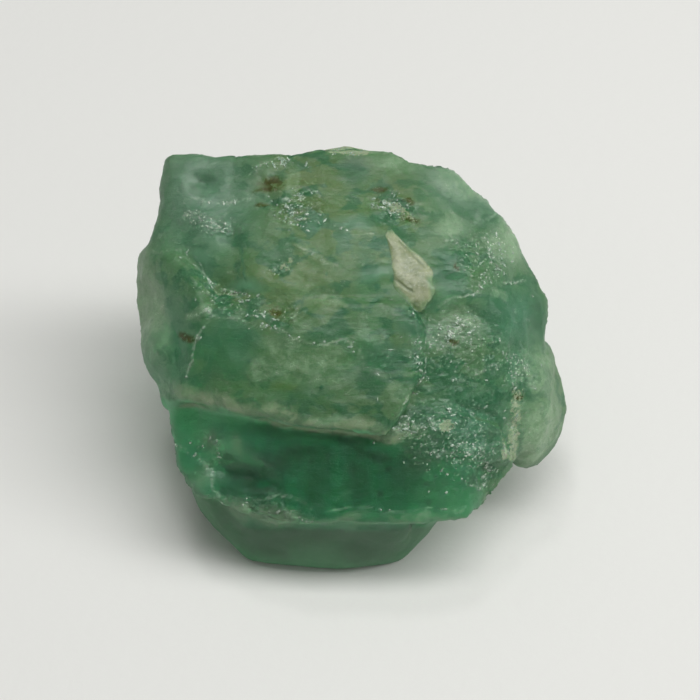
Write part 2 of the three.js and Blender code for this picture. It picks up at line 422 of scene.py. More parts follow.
# Thin pale cracks: the width of each, then its line.
STREAKS = [
    (1.0, [(-8.2, 19.1), (-7.4, 19.1), (-6.6, 19.2), (-5.9, 19.2), (-5.2, 19.1)]),
    (1.6, [(-8.6, 18.3), (-7.9, 18.2), (-7.4, 18.0), (-6.5, 17.7), (-6.0, 17.4)]),
    (
        0.8,
        [(-9.5, 16.6), (-8.3, 16.4), (-7.6, 16.1), (-7.3, 15.4), (-6.6, 14.9), (-6.1, 14.2), (-4.8, 13.9)],
    ),
    (1.2, [(-8.1, 13.4), (-7.1, 13.4), (-7.3, 13.0), (-7.6, 12.2), (-7.7, 10.9), (-8.1, 9.7)]),
    (0.8, [(-3.4, 13.3), (-2.9, 13.3), (-2.5, 13.5)]),
    (1.2, [(-7.1, 13.1), (-5.1, 13.0), (-3.7, 12.3), (-2.7, 11.8), (-0.4, 12.0), (0.1, 11.4)]),
    (0.8, [(-5.1, 21.1), (-3.5, 21.1)]),
    (0.7, [(-3.7, 18.9), (-3.1, 19.0), (-2.3, 18.9), (-1.9, 18.5), (-2.5, 18.0), (-3.1, 17.5)]),
    (0.8, [(-2.4, 19.3), (-1.6, 19.2), (-1.3, 18.8)]),
    (0.8, [(-0.5, 17.5), (0.7, 17.4), (1.7, 17.3)]),
    (0.8, [(-3.1, 16.5), (-1.5, 15.9), (-0.3, 15.9)]),
    (1.3, [(4.3, 13.9), (5.1, 14.0), (6.1, 14.2), (6.5, 14.5)]),
    (1.0, [(3.9, 13.1), (4.8, 13.7)]),
    (1.2, [(4.7, 11.9), (5.3, 12.3), (5.8, 13.0)]),
    (0.9, [(3.8, 13.1), (3.7, 11.6), (3.6, 10.3), (3.2, 9.4), (2.5, 8.2)]),
    (0.8, [(0.3, 11.5), (0.6, 10.6), (1.0, 10.0), (1.4, 10.3)]),
    (0.8, [(1.7, 10.7), (1.9, 11.4), (2.3, 11.8)]),
    (1.0, [(2.4, 7.7), (3.3, 7.9), (4.6, 7.7)]),
    (1.0, [(4.1, 8.2), (4.6, 7.6), (5.1, 7.1)]),
    (0.9, [(4.6, 7.3), (5.6, 7.7)]),
    (0.9, [(4.0, 6.3), (5.1, 6.2)]),
    (1.2, [(5.1, 6.7), (6.1, 6.6), (7.0, 6.9)]),
    (1.2, [(6.5, 4.7), (7.0, 5.3), (7.6, 5.8)]),
    (1.0, [(5.3, 5.3), (6.1, 4.8), (6.5, 4.7)]),
    (1.4, [(-8.8, 6.5), (-7.4, 5.7), (-7.1, 5.1), (-6.9, 4.4), (-6.5, 3.9)]),
    (1.0, [(-5.5, 4.2), (-3.9, 4.1), (-2.7, 4.2), (-2.1, 3.9), (-1.8, 3.4)]),
    (1.0, [(-3.1, 3.6), (-2.4, 3.1), (-1.6, 2.7)]),
    (0.8, [(-1.0, 3.6), (2.5, 3.4), (6.2, 3.5)]),
    (0.9, [(7.3, 15.0), (9.2, 15.0)]),
    (0.9, [(6.8, 18.0), (7.6, 18.3)]),
    (0.9, [(4.6, 16.9), (5.4, 16.9)]),
    (1.2, [(8.3, 9.0), (8.4, 7.9), (8.2, 6.9), (8.0, 6.1)]),
    (0.8, [(6.1, 10.3), (7.1, 10.7), (7.9, 11.5)]),
    (0.7, [(3.1, 9.2), (4.0, 9.5), (4.8, 9.3)]),
]

# The ridge that parts the middle face from the deep lower one, from left to right.
RIDGE = [(-12.0, 9.4), (-8.6, 8.9), (-6.0, 8.3), (-2.6, 7.7), (-0.3, 7.2), (2.0, 7.0), (3.0, 7.3)]

# Below this line the stone turns under.
UNDER_EDGE = [
    (-12.0, 9.0), (-8.9, 6.1), (-6.9, 3.8), (-5.2, 2.5),
    (6.2, 2.55), (7.0, 3.3), (8.5, 4.9), (12.0, 8.0),
]

# Ledges: the ground falls by the height, in millimetres, on the right-hand side of each line.
LEDGES = [
    (0.07, [(-8.6, 18.3), (-7.9, 18.2), (-7.4, 18.0), (-6.5, 17.7), (-6.0, 17.4)]),
    (0.06, [(-8.2, 19.1), (-6.6, 19.2), (-5.2, 19.1)]),
    (0.06, [(-9.5, 16.6), (-8.3, 16.4), (-7.3, 15.4), (-6.1, 14.2), (-4.8, 13.9)]),
    (0.08, [(-7.1, 13.1), (-5.1, 13.0), (-3.7, 12.3), (-2.7, 11.8), (-0.4, 12.0), (0.1, 11.4)]),
    (-0.08, [(-8.1, 13.4), (-7.3, 13.0), (-7.6, 12.2), (-7.7, 10.9), (-8.1, 9.7)]),
    (0.13, [(3.8, 13.1), (3.7, 11.6), (3.6, 10.3), (3.2, 9.4), (2.5, 8.2), (1.9, 7.1)]),
    (0.12, [(4.3, 13.9), (5.1, 14.0), (6.1, 14.2), (6.5, 14.5)]),
    (-0.13, [(-8.8, 6.5), (-7.4, 5.7), (-7.1, 5.1), (-6.9, 4.4), (-6.5, 4.0), (-5.5, 4.2), (-3.9, 4.1)]),
    (-0.09, [(-3.9, 4.1), (-2.7, 4.2), (-2.1, 3.9), (-1.8, 3.4), (-1.4, 2.7)]),
    (-0.07, [(-1.0, 3.6), (2.5, 3.4), (6.2, 3.5)]),
    (0.06, [(-0.5, 17.5), (0.7, 17.4), (1.7, 17.3)]),
    (0.06, [(-3.1, 16.5), (-1.5, 15.9), (-0.3, 15.9)]),
    (0.07, [(7.3, 15.0), (9.2, 15.0)]),
    (0.06, [(0.3, 11.5), (0.6, 10.6), (1.0, 10.0), (1.9, 11.4), (2.3, 11.8)]),
    (0.09, [(5.3, 5.3), (6.1, 4.8), (7.0, 5.3), (7.6, 5.8)]),
]

# The cream sliver: its outline, and the cracks across it.
SLIVER = [
    (1.73, 17.36), (2.04, 17.61), (2.29, 17.36), (2.9, 16.75), (3.46, 16.29), (3.92, 15.78),
    (4.22, 15.32), (4.17, 14.86), (4.33, 14.4), (4.17, 14.0), (3.92, 13.69), (3.61, 13.28),
    (3.21, 13.39), (2.85, 13.84), (2.39, 14.25), (2.14, 14.61), (2.14, 15.27), (2.04, 15.63),
    (2.04, 16.03), (1.83, 16.95),
]
SLIVER_CRACKS = [
    [(2.5, 16.9), (2.75, 16.65), (3.16, 16.2), (3.6, 15.78), (3.72, 15.6)],
    [(2.24, 15.0), (2.6, 14.7), (2.9, 14.45), (3.05, 14.4)],
]


# ------------------------------------------------------------------ node trees


class Wire:
    """A node's output. Sums on it add the Math nodes that work them out."""

    def __init__(self, tree, socket):
        self.tree = tree
        self.socket = socket

    def __add__(self, other):
        return self.tree.math("ADD", self, other)

    def __radd__(self, other):
        return self.tree.math("ADD", other, self)

    def __sub__(self, other):
        return self.tree.math("SUBTRACT", self, other)

    def __rsub__(self, other):
        return self.tree.math("SUBTRACT", other, self)

    def __mul__(self, other):
        return self.tree.math("MULTIPLY", self, other)

    def __rmul__(self, other):
        return self.tree.math("MULTIPLY", other, self)

    def __truediv__(self, other):
        return self.tree.math("DIVIDE", self, other)

    def __rtruediv__(self, other):
        return self.tree.math("DIVIDE", other, self)

    def clamped(self):
        return self.tree.math("ADD", self, 0.0, clamp=True)

    def output(self, name):
        """Another output of the same node."""
        return Wire(self.tree, self.socket.node.outputs[name])


class Tree:
    """A shader or geometry node tree, to which nodes are added by their type."""

    def __init__(self, nodes):
        self.nodes = nodes

    def feed(self, socket, value):
        if isinstance(value, Wire):
            self.nodes.links.new(value.socket, socket)
        else:
            socket.default_value = value

    def add(self, kind, settings=None, inputs=None, output=0):
        """A new node with its settings, then its inputs by name or number, as one of its outputs."""
        node = self.nodes.nodes.new(kind)
        for name, value in (settings or {}).items():
            setattr(node, name, value)
        for key, value in (inputs or {}).items():
            self.feed(node.inputs[key], value)
        return None if output is None else Wire(self, node.outputs[output])

    def math(self, operation, *values, clamp=False):
        settings = {"operation": operation, "use_clamp": clamp}
        return self.add("ShaderNodeMath", settings, dict(enumerate(values)))

    def vector(self, operation, *values, output=0):
        return self.add("ShaderNodeVectorMath", {"operation": operation}, dict(enumerate(values)), output)

    def stretched(self, place, scales):
        return self.vector("MULTIPLY", place, scales)

    def scaled(self, place, factor):
        return self.add("ShaderNodeVectorMath", {"operation": "SCALE"}, {0: place, "Scale": factor})

    def rise(self, value, low, high):
        """0 where value is below low, 1 above high, and a smooth rise between them."""
        settings = {"interpolation_type": "SMOOTHSTEP"}
        values = {"Value": value, "From Min": low, "From Max": high}
        return self.add("ShaderNodeMapRange", settings, values)

    def noise(self, place, scale, detail=4.0, roughness=0.55, distortion=0.0):
        values = {
            "Vector": place,
            "Scale": scale,
            "Detail": detail,
            "Roughness": roughness,
            "Distortion": distortion,
        }
        return self.add("ShaderNodeTexNoise", None, values)

    def facets(self, place, softness=0.0):
        """Flat planes at random tilts, each about one unit across: a height from about -1 to 1."""
        values = {"Vector": place, "Scale": 1.0}
        if softness:
            values["Smoothness"] = softness
        settings = {"feature": "SMOOTH_F1" if softness else "F1"}
        cell = self.add("ShaderNodeTexVoronoi", settings, values, "Color")
        away = self.vector("SUBTRACT", place, cell.output("Position"))
        tilt = self.vector("SUBTRACT", cell, (0.5, 0.5, 0.5))
        return self.vector("DOT_PRODUCT", away, tilt, output="Value") * 2.0

    def blend(self, factor, first, second):
        """Two colours mixed by a factor."""
        settings = {"data_type": "RGBA", "blend_type": "MIX", "clamp_factor": True}
        return self.add("ShaderNodeMix", settings, {0: factor, 6: first, 7: second}, 2)


# ------------------------------------------------------------------ settings


def colour(name, description, red, green, blue):
    return FloatVectorProperty(
        name=name,
        description=description,
        subtype="COLOR",
        size=3,
        min=0,
        max=1,
        default=(red, green, blue),
    )


def length(name, description, millimetres):
    return FloatProperty(
        name=name,
        description=description,
        default=millimetres * MM,
        min=0,
        precision=6,
        unit="LENGTH",
        subtype="DISTANCE",
    )


class EmeraldShape(bpy.types.PropertyGroup):
    """Sizes of the stone's fine surface, and of the small pieces on it and inside it."""

    grain: length("Grain", "Spacing of the fine surface's points", 0.136)
    step_depth: length("Step depth", "Depth of the growth steps", 0.09)
    step_pitch: length("Step pitch", "Spacing of the growth steps up the face", 1.6)
    facet_depth: length("Facet depth", "Depth of the fracture facets", 0.26)
    facet_size: length("Facet size", "Width of the fracture facets", 2.3)
    hackle_depth: length("Hackle depth", "Depth of the splintery breaks", 0.13)
    hackle_size: length("Hackle size", "Width of the splintery breaks", 0.75)
    wear: IntProperty(name="Wear", description="How far the breaks are rounded off", default=26, min=0)
    sliver_height: length("Sliver height", "How far the cream sliver stands proud", 0.13)
    chips: FloatProperty(
        name="Chips",
        description="Chips of crushed beryl on a square millimetre of a break",
        default=80.0,
        min=0,
    )
    chip_smallest: length("Smallest chip", "Radius of the smallest chips", 0.016)
    chip_largest: length("Largest chip", "Radius of the largest chips", 0.085)
    splinters: FloatProperty(
        name="Splinters",
        description="Pale splinters on a square millimetre of the stone",
        default=11.0,
        min=0,
    )
    splinter_thinnest: length("Thinnest splinter", "Half the width of the thinnest splinters", 0.012)
    splinter_thickest: length("Thickest splinter", "Half the width of the thickest splinters", 0.045)
    veils: FloatProperty(
        name="Veils",
        description="Veils and needles sealed under a square millimetre of the clear windows",
        default=3.0,
        min=0,
    )
    veil_depth: length("Veil depth", "How deep the deepest veils lie", 1.6)
    veil_thinnest: length("Thinnest veil", "Half the width of the thinnest veils", 0.02)
    veil_thickest: length("Thickest veil", "Half the width of the thickest veils", 0.12)
    seed: IntProperty(name="Seed", description="Changes the random breaks", default=7, min=0)


class EmeraldColours(bpy.types.PropertyGroup):
    """Colours of the stone and of what it lies on."""

    clear: colour("Clear", "Tint of the clear breaks", 0.93, 1.0, 0.95)
    body: colour("Body", "Green of the cloudy body", 0.062, 0.17, 0.052)
    window: colour("Window", "Green of the clear windows", 0.004, 0.35, 0.125)
    deep: colour("Deep", "Shadowed green between the veils", 0.014, 0.13, 0.052)
    under: colour("Under", "Grey-green of the side turned to the floor", 0.10, 0.19, 0.11)
    olive: colour("Olive", "Warmer green of the upper face", 0.098, 0.16, 0.024)
    # Painted shade: the side turned to the floor takes a flat grey-green in place of the shade it lies in.
    teal: colour("Teal", "Bluer green of the clear ends", 0.034, 0.188, 0.108)
    # Also painted light: it makes the thin end crystals lighter as if lit through.
    frost_and_glow: colour("Frost", "Frosted skin of the end crystals", 0.32, 0.46, 0.29)
    pale: colour("Pale", "Milky green of the veils and the end crystals", 0.27, 0.41, 0.25)
    # Grey-green of the haze; over the upper faces it also paints the sheen of the light reflected there.
    haze_and_sheen: colour("Haze", "Grey-green haze over the ends", 0.215, 0.32, 0.232)
    white: colour("White", "Fine cracks and crushed edges", 0.66, 0.76, 0.62)
    stain: colour("Stain", "Iron stain in the cracks", 0.052, 0.058, 0.007)
    rind: colour("Rind", "Cream host rock", 0.38, 0.45, 0.29)
    cream_dark: colour("Darker cream", "Darker cream of the sliver", 0.24, 0.29, 0.165)
    cream_light: colour("Lighter cream", "Lighter cream of the sliver", 0.39, 0.42, 0.28)
    cream_grit: colour("Cream grit", "Pale grit on the sliver", 0.6, 0.62, 0.5)
    cream_crack: colour("Cream crack", "Cracks across the sliver", 0.14, 0.19, 0.1)
    cream_rim: colour("Cream rim", "Green that shows through the sliver's thin rim", 0.13, 0.26, 0.13)
    absorption: colour("Absorption", "Light that the clear beryl lets through", 0.06, 0.72, 0.3)
    paper: colour("Paper", "The sheet under the stone", 0.80, 0.80, 0.77)


class EmeraldStage(bpy.types.PropertyGroup):
    """The camera and the light."""

    distance: length("Distance", "From the camera to the show face", 100.0)
    view_width: length("View width", "What the camera sees across the show face", 35.63)
    light: FloatProperty(name="Light", description="Strength of the soft light", default=0.84, min=0)


# ------------------------------------------------------------------ meshes


def new_object(name, mesh):
    """An object at the origin that holds the mesh."""
    made = bpy.data.objects.new(name, mesh)
    bpy.context.scene.collection.objects.link(made)
    return made


def frozen(working, name):
    """The working object with its modifiers applied, as a plain mesh; the object is removed."""
    view = bpy.context.evaluated_depsgraph_get()
    mesh = bpy.data.meshes.new_from_object(working.evaluated_get(view))
    mesh.name = name
    old = working.data
    bpy.data.objects.remove(working)
    bpy.data.meshes.remove(old)
    return mesh


def merged_copy(node):
    """A copy of a CAD node's mesh in millimetres, with its loose triangles merged."""
    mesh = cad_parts[node].data.copy()
    mesh.transform(MILLIMETRES)
    merge_distance = 0.0005
    work = bmesh.new()
    work.from_mesh(mesh)
    bmesh.ops.remove_doubles(work, verts=work.verts, dist=merge_distance)
    bmesh.ops.recalc_face_normals(work, faces=work.faces)
    work.to_mesh(mesh)
    work.free()
    mesh.materials.clear()
    return mesh


def remeshed(mesh, grain_mm):
    """The mesh rebuilt from even little squares, grain_mm across."""
    working = new_object("fine stone", mesh)
    modifier = working.modifiers.new("Even grain", "REMESH")
    modifier.mode = "VOXEL"
    modifier.voxel_size = grain_mm
    return frozen(working, "fine stone")


def vectors_of(mesh, kind):
    """The mesh's points, or their normals, as rows of three numbers."""
    vectors = np.empty(len(mesh.vertices) * 3, np.float32)
    mesh.vertices.foreach_get(kind, vectors)
    return vectors.reshape(-1, 3).astype(float)


def points_of(mesh):
    return vectors_of(mesh, "co")


def normals_of(mesh):
    return vectors_of(mesh, "normal")


def move_points(mesh, points):
    mesh.vertices.foreach_set("co", points.astype(np.float32).ravel())


def keep_above_floor(mesh):
    """Lifts any point that the relief has pushed below the floor."""
    points = points_of(mesh)
    points[:, 2] = np.maximum(points[:, 2], LOW.z)
    move_points(mesh, points)
    mesh.update()


def store(mesh, name, values):
    """Keeps a value for each of the mesh's points under a name."""
    attribute = mesh.attributes.new(name, "FLOAT", "POINT")
    attribute.data.foreach_set("value", np.asarray(values, np.float32))


# Finishes drawn by ovals in front and left to chance behind: the ovals and how soft their edges are,
# the strength in front and behind, and the size, seed and limits of the patches behind.
FINISHES = {
    "clear": (WINDOWS, 0.7, 1, 1, 1.1, 42, 0.3, 1.1),
    "teal": (TEAL, 0.8, 1, 1, 2.6, 43, 0.3, 1.1),
    "haze_and_sheen": (HAZE_AND_SHEEN, 0.7, 1, 1, 2.0, 44, 0.3, 1.1),
    "olive": (OLIVE, 0.8, 1, 1, 2.4, 45, 0.3, 1.1),
    "stain": (STAINED, 0.7, 1, 1, 0.6, 46, 2.0, 2.4),
    "dark": (DARK, 0.8, 0.8, 0.5, 0.9, 47, 0.3, 1.1),
}


# How far out of the show face its finishes begin, and where they are in full.
FRONT_BEGINS, FRONT_IN_FULL = -3.8, -1.4

# How much of the show face's finishes stays on what turns away from it.
TURNED_AWAY_SHARE = 0.15


def drifted(points, face):
    """Places on the show face, shifted a little this way and that, so that no patch ends evenly."""
    drift = 0.22
    warped = face.copy()
    for size, seed in ((0.8, 11), (0.25, 13)):
        warped[:, 0] += drift * size * wavy(points, size, seed)
        warped[:, 1] += drift * size * wavy(points, size, seed + 1)
    return warped


def mark_finishes(mesh):
    """Works out where each finish lies and stores it on the mesh's points."""
    points = points_of(mesh)
    face = face_coordinates(points)
    warped = drifted(points, face)

    # Which side of the stone each point is on.
    facing = smooth_step(-0.05, 0.3, normals_of(mesh) @ np.array(OUT))
    turned = TURNED_AWAY_SHARE + (1 - TURNED_AWAY_SHARE) * facing
    front = smooth_step(FRONT_BEGINS, FRONT_IN_FULL, face[:, 2]) * turned
    under_edge = np.interp(face[:, 0], *np.array(UNDER_EDGE).T)
    under = 1 - smooth_step(-0.25, 0.05, face[:, 1] - under_edge)
    behind = (1 - front) * (1 - 0.7 * under)

    # The deep lower face, and the pale band along the ridge above it.
    ridge = np.interp(face[:, 0], *np.array(RIDGE).T)
    below = 1 - smooth_step(-0.12, 0.12, warped[:, 1] - ridge)
    right_end = np.maximum(
        smooth_step(2.4, 3.4, warped[:, 0]) * smooth_step(5.2, 6.2, warped[:, 1]),
        smooth_step(6.2, 6.8, warped[:, 0]),
    )
    deep_face = front * below * (1 - right_end)
    above_ridge = 0.35
    band = 1 - smooth_step(0.1, 0.55, np.abs(warped[:, 1] - ridge - above_ridge))
    band = band * (1 - right_end) * smooth_step(-9.8, -8.0, face[:, 0])
    milk = front * np.maximum(patches(warped, MILKY, 0.45), 0.6 * band)
    store(mesh, "deep", deep_face)
    store(mesh, "under", under)
    store(mesh, "side", behind * (1 - under))
    store(mesh, "milk", milk + behind * 0.7 * clouds(points, 1.6, 41))
    store(mesh, "band", front * band)

    for name, (ovals, soft, in_front, at_back, size, seed, low, high) in FINISHES.items():
        drawn = front * in_front * patches(warped, ovals, soft)
        store(mesh, name, drawn + behind * at_back * clouds(points, size, seed, low, high))

    vein_strength = 0.75
    from_vein, _ = line_distance(warped, VEIN)
    vein = vein_strength * (1 - smooth_step(0.1, 0.55, from_vein))
    store(mesh, "rind", front * np.maximum(patches(warped, RIND, 0.3), vein))
    store(mesh, "frost_and_glow", front * patches(warped, FROST_AND_GLOW, 0.6))
    store(mesh, "fleck", front * patches(face, FLECKED, 0.6))

    # How rough or worn the breaks are.
    broken = patches(warped, BROKEN, 0.5)
    rough_back = clouds(points, 1.5, 48, 0.0, 1.2)
    store(mesh, "broken", front * broken + behind * (0.15 + 0.7 * rough_back))
    store(mesh, "smooth", np.maximum(front * patches(warped, SMOOTH, 0.4), 0.8 * under))
    store(mesh, "bulge", patches(face, BULGING, 0.7))
    worn = 0.4 + 0.6 * patches(warped, WORN, 0.5) - 0.3 * patches(warped, CRISP, 0.5)
    store(mesh, "worn", front * worn + behind * 0.2)

    # Thin cracks, as if drawn with a pencil.
    streak = np.zeros(len(points))
    pencil = 0.045
    for width, line in STREAKS:
        distance, _ = line_distance(warped, line)
        streak = np.maximum(streak, 1 - smooth_step(0.3, 1.7, distance / (pencil * width)))
    crossing = 1 - smooth_step(0.01, 0.07, np.abs(wavy(points, 2.2, 49)))
    store(mesh, "streak", front * streak + behind * crossing * clouds(points, 1.2, 50, 0.0, 0.8))

    # How thickly chips, dust, veils and splinters lie.
    glitter = patches(warped, GLITTER, 0.6)
    crushed_back = 0.04 + 0.7 * rough_back * clouds(points, 0.9, 51, 0.6, 1.4)
    crushed_front = glitter + 0.8 * streak + 0.12 * broken
    store(mesh, "sparkle", front * crushed_front + behind * crushed_back)
    dust = np.minimum(1, 0.12 + patches(warped, GLITTER, 0.9) + 0.3 * broken)
    store(mesh, "dusty", front * dust)
    windows = np.maximum(patches(warped, WINDOWS, 0.7), 0.8 * below * (1 - right_end))
    store(mesh, "sealed", front * windows * (1 - under))
    splintered = 0.015 + 0.25 * broken + 0.9 * glitter + 0.5 * streak
    splintered = front * splintered + behind * (0.04 + 0.6 * crushed_back)
    store(mesh, "splintered", splintered * (1 - 0.85 * np.maximum(deep_face, under)))


def cut_ledges(mesh):
    """Moves the mesh's points out or in beside each ledge."""
    raggedness = 0.07
    lip_width = 0.13
    points = points_of(mesh)
    face = face_coordinates(points)
    ragged = face.copy()
    ragged[:, 1] += raggedness * wavy(points, 0.35, 21)
    front = smooth_step(-1.5, 0.5, face[:, 2])
    shift = np.zeros(len(points))
    for height, line in LEDGES:
        distance, side = line_distance(ragged, line)
        fade = 1 - smooth_step(0.2, 1.6, distance)
        lip = smooth_step(-lip_width, lip_width, distance * side)
        shift += height * (lip - 0.5) * fade
    move_points(mesh, points + np.outer(shift * front, np.array(OUT)))


# ------------------------------------------------------------------ the stone's relief


def geometry_tree(name, sizes, counts):
    """A geometry node tree that takes the stone, sizes, whole numbers and a material, and its input."""
    nodes = bpy.data.node_groups.new(name, "GeometryNodeTree")
    kinds = [("Stone", "Geometry")]
    kinds += [(size, "Float") for size in sizes]
    kinds += [(count, "Int") for count in counts]
    kinds += [("Material", "Material")]
    for label, kind in kinds:
        nodes.interface.new_socket(label, in_out="INPUT", socket_type="NodeSocket" + kind)
    nodes.interface.new_socket("Made", in_out="OUTPUT", socket_type="NodeSocketGeometry")
    tree = Tree(nodes)
    return tree, Wire(tree, nodes.nodes.new("NodeGroupInput").outputs["Stone"])


def finish_tree(tree, geometry, material):
    """Ends a geometry node tree: instances made real, then the material."""
    realized = tree.add("GeometryNodeRealizeInstances", None, {0: geometry})
    values = {"Geometry": realized, "Material": material}
    finished = tree.add("GeometryNodeSetMaterial", None, values)
    group_output = tree.nodes.nodes.new("NodeGroupOutput")
    tree.feed(group_output.inputs["Made"], finished)
    return tree.nodes


def set_inputs(modifier, values):
    """Gives a modifier's named inputs their values, by each socket's identifier."""
    for item in modifier.node_group.interface.items_tree:
        if item.in_out == "INPUT" and item.name in values:
            modifier[item.identifier] = values[item.name]


def kept(tree, name):
    """The value that the mesh's points keep under a name, for geometry nodes."""
    return tree.add("GeometryNodeInputNamedAttribute", {"data_type": "FLOAT"}, {"Name": name})


def relief_tree():
    """Growth steps, fracture facets and splintery breaks, as one geometry node tree."""
    sizes = ("Step depth", "Step pitch", "Facet depth", "Facet size", "Hackle depth", "Hackle size")
    tree, given = geometry_tree("Stone relief", (*sizes, "Seed"), ("Wear",))

    def turned(place, turn, stretch):
        settings = {"rotation_type": "EULER_XYZ"}
        values = {"Vector": place, "Rotation": turn}
        return tree.stretched(tree.add("ShaderNodeVectorRotate", settings, values), stretch)

    foot = [value / MM for value in FOOT]
    place = tree.vector("SUBTRACT", tree.add("GeometryNodeInputPosition"), foot)
    normal = tree.add("GeometryNodeInputNormal")
    up = tree.vector("DOT_PRODUCT", place, UP_FACE, output="Value")
    shift = tree.add("ShaderNodeCombineXYZ", None, {0: given.output("Seed")})
    seeded = tree.vector("ADD", place, shift)
    broken = kept(tree, "broken")
    calm = (1 - kept(tree, "smooth") * 0.75) * (1 + kept(tree, "side"))

    # Broad fracture facets, long along the stone.
    wide = turned(seeded, (0.5, 0.3, 0.9), (0.75, 1.1, 1.1))
    wide = tree.scaled(wide, 1 / given.output("Facet size"))
    facet_relief = tree.facets(wide, 0.35) * given.output("Facet depth")
    facet_relief = facet_relief * (0.25 + broken * 0.6) * calm

    # Small splintery breaks, bent a little so that no edge runs straight.
    small = turned(seeded, (0.2, 0.1, 0.15), (0.7, 1.25, 1.1))
    small = tree.scaled(small, 1 / given.output("Hackle size"))
    bent = tree.scaled(tree.noise(seeded, 1.4, 2.0).output("Color"), 0.5)
    hackle_relief = tree.facets(tree.vector("ADD", small, bent), 0.3) * given.output("Hackle depth")
    hackle_relief = hackle_relief * (0.04 + broken * 0.9) * calm

    # Terraces: slanting treads and short risers, running along the stone.
    wander = 9.0
    riser_share = 0.22
    field = tree.noise(tree.stretched(seeded, (0.34, 1.1, 0.9)), 1.0, 3.0, 0.6) * wander
    part = tree.math("FRACT", field + up / given.output("Step pitch"))
    riser = tree.rise(part, 0.0, riser_share)
    step_relief = (riser - part - 0.5) * given.output("Step depth") * (0.35 + broken) * calm

    # The whole stone swells and sinks a little, but not where it rests.
    swell_depth, fine_depth, lift, bulge_height = 0.45, 0.06, 0.12, 0.4
    swell = (tree.noise(seeded, 0.4, 2.0) - 0.5) * swell_depth
    fine = (tree.noise(seeded, 2.0, 2.0) - 0.5) * fine_depth * (0.2 + broken)
    height = tree.add("ShaderNodeSeparateXYZ", None, {0: place}, 2)
    off_floor = tree.rise(height, 0.1, 1.2)
    total = facet_relief + hackle_relief + step_relief + swell + fine + lift
    total = (total + kept(tree, "bulge") * bulge_height) * off_floor

    # The stone is worn first, and the relief raised on what is left.
    worn = tree.add(
        "GeometryNodeBlurAttribute",
        {"data_type": "FLOAT_VECTOR"},
        {
            "Value": tree.add("GeometryNodeInputPosition"),
            "Iterations": given.output("Wear"),
            "Weight": kept(tree, "worn"),
        },
    )
    smoothed = tree.add("GeometryNodeSetPosition", None, {"Geometry": given, "Position": worn})
    values = {"Geometry": smoothed, "Offset": tree.scaled(normal, total)}
    moved = tree.add("GeometryNodeSetPosition", None, values)
    return finish_tree(tree, moved, given.output("Material"))


def strewn_tree(name, mask, clumping):
    """Small pieces strewn over the part of the stone that a mask marks, in clumps. They lie along
    its surface, on it or sunk below it."""
    sizes = ("Count per square", "Smallest", "Largest", "Shortest", "Longest", "Spread", "Deepest")
    tree, given = geometry_tree(name, sizes, ("Seed",))
    clumps = tree.noise(tree.add("GeometryNodeInputPosition"), clumping, 3.0)
    clumps = tree.rise(clumps, 0.42, 0.66)
    points = tree.add(
        "GeometryNodeDistributePointsOnFaces",
        {"distribute_method": "RANDOM"},
        {
            "Mesh": given,
            "Density": kept(tree, mask) * clumps * given.output("Count per square"),
            "Seed": given.output("Seed"),
        },
    )

    def random_vector(low, high, seed):
        settings = {"data_type": "FLOAT_VECTOR"}
        return tree.add("FunctionNodeRandomValue", settings, {"Min": low, "Max": high, "Seed": seed})

    def random_number(low, high, seed):
        settings = {"data_type": "FLOAT"}
        return tree.add("FunctionNodeRandomValue", settings, {2: low, 3: high, "Seed": seed}, 1)

    def turned_to(axis, pivot, rotation, direction):
        settings = {"axis": axis, "pivot_axis": pivot}
        values = {"Rotation": rotation, "Vector": direction}
        return tree.add("FunctionNodeAlignRotationToVector", settings, values)

    # Each piece lies flat on the stone, turned towards its length by more or less.
    turns = random_vector((0, 0, 0), (ABOUT_ONE_TURN,) * 3, 1)
    any_way = tree.add("FunctionNodeEulerToRotation", None, {"Euler": turns})
    away = tree.scaled(random_vector((-1, -1, -1), (1, 1, 1), 4), given.output("Spread"))
    lying = turned_to("Z", "AUTO", any_way, points.output("Normal"))
    along = turned_to("X", "Z", lying, tree.vector("ADD", away, ALONG))

    # Most are small: the cube of a random share of the way from the smallest to the largest.
    share = random_number(0.0, 1.0, 2)
    largest_gain = given.output("Largest") - given.output("Smallest")
    size = given.output("Smallest") + largest_gain * share * share * share
    stretch = random_number(given.output("Shortest"), given.output("Longest"), 3)
    flatness = 0.45
    reach = tree.add("ShaderNodeCombineXYZ", None, {0: stretch, 1: 1.0, 2: flatness})

    depth = random_number(-0.4, -1.0, 5) * given.output("Deepest")
    sunk = tree.scaled(points.output("Normal"), depth)
    settled = tree.add("GeometryNodeSetPosition", None, {"Geometry": points, "Offset": sunk})
    chip = tree.add("GeometryNodeMeshIcoSphere", None, {"Radius": 1.0, "Subdivisions": 1})
    pieces = tree.add(
        "GeometryNodeInstanceOnPoints",
        None,
        {
            "Points": settled,
            "Instance": chip,
            "Rotation": along,
            "Scale": tree.scaled(reach, size),
        },
    )
    return finish_tree(tree, pieces, given.output("Material"))


def strewn(name, mask, clumping, values):
    """One piece made of many small ones, strewn over the finished stone where the mask marks it."""
    ground = bpy.data.objects["crystal"].data.copy()
    ground.transform(MILLIMETRES)
    working = new_object(name, ground)
    modifier = working.modifiers.new("Strewn", "NODES")
    modifier.node_group = strewn_tree(name.replace("_", " "), mask, clumping)
    set_inputs(modifier, values)
    piece = new_object(name, frozen(working, name))
    piece.data.transform(METRES)
    keep_above_floor(piece.data)
    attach(piece, BODY)
    return piece


# ------------------------------------------------------------------ materials


def new_material(name):
    material = bpy.data.materials.new(name)
    material.use_nodes = True
    material.node_tree.nodes.clear()
    return material, Tree(material.node_tree)


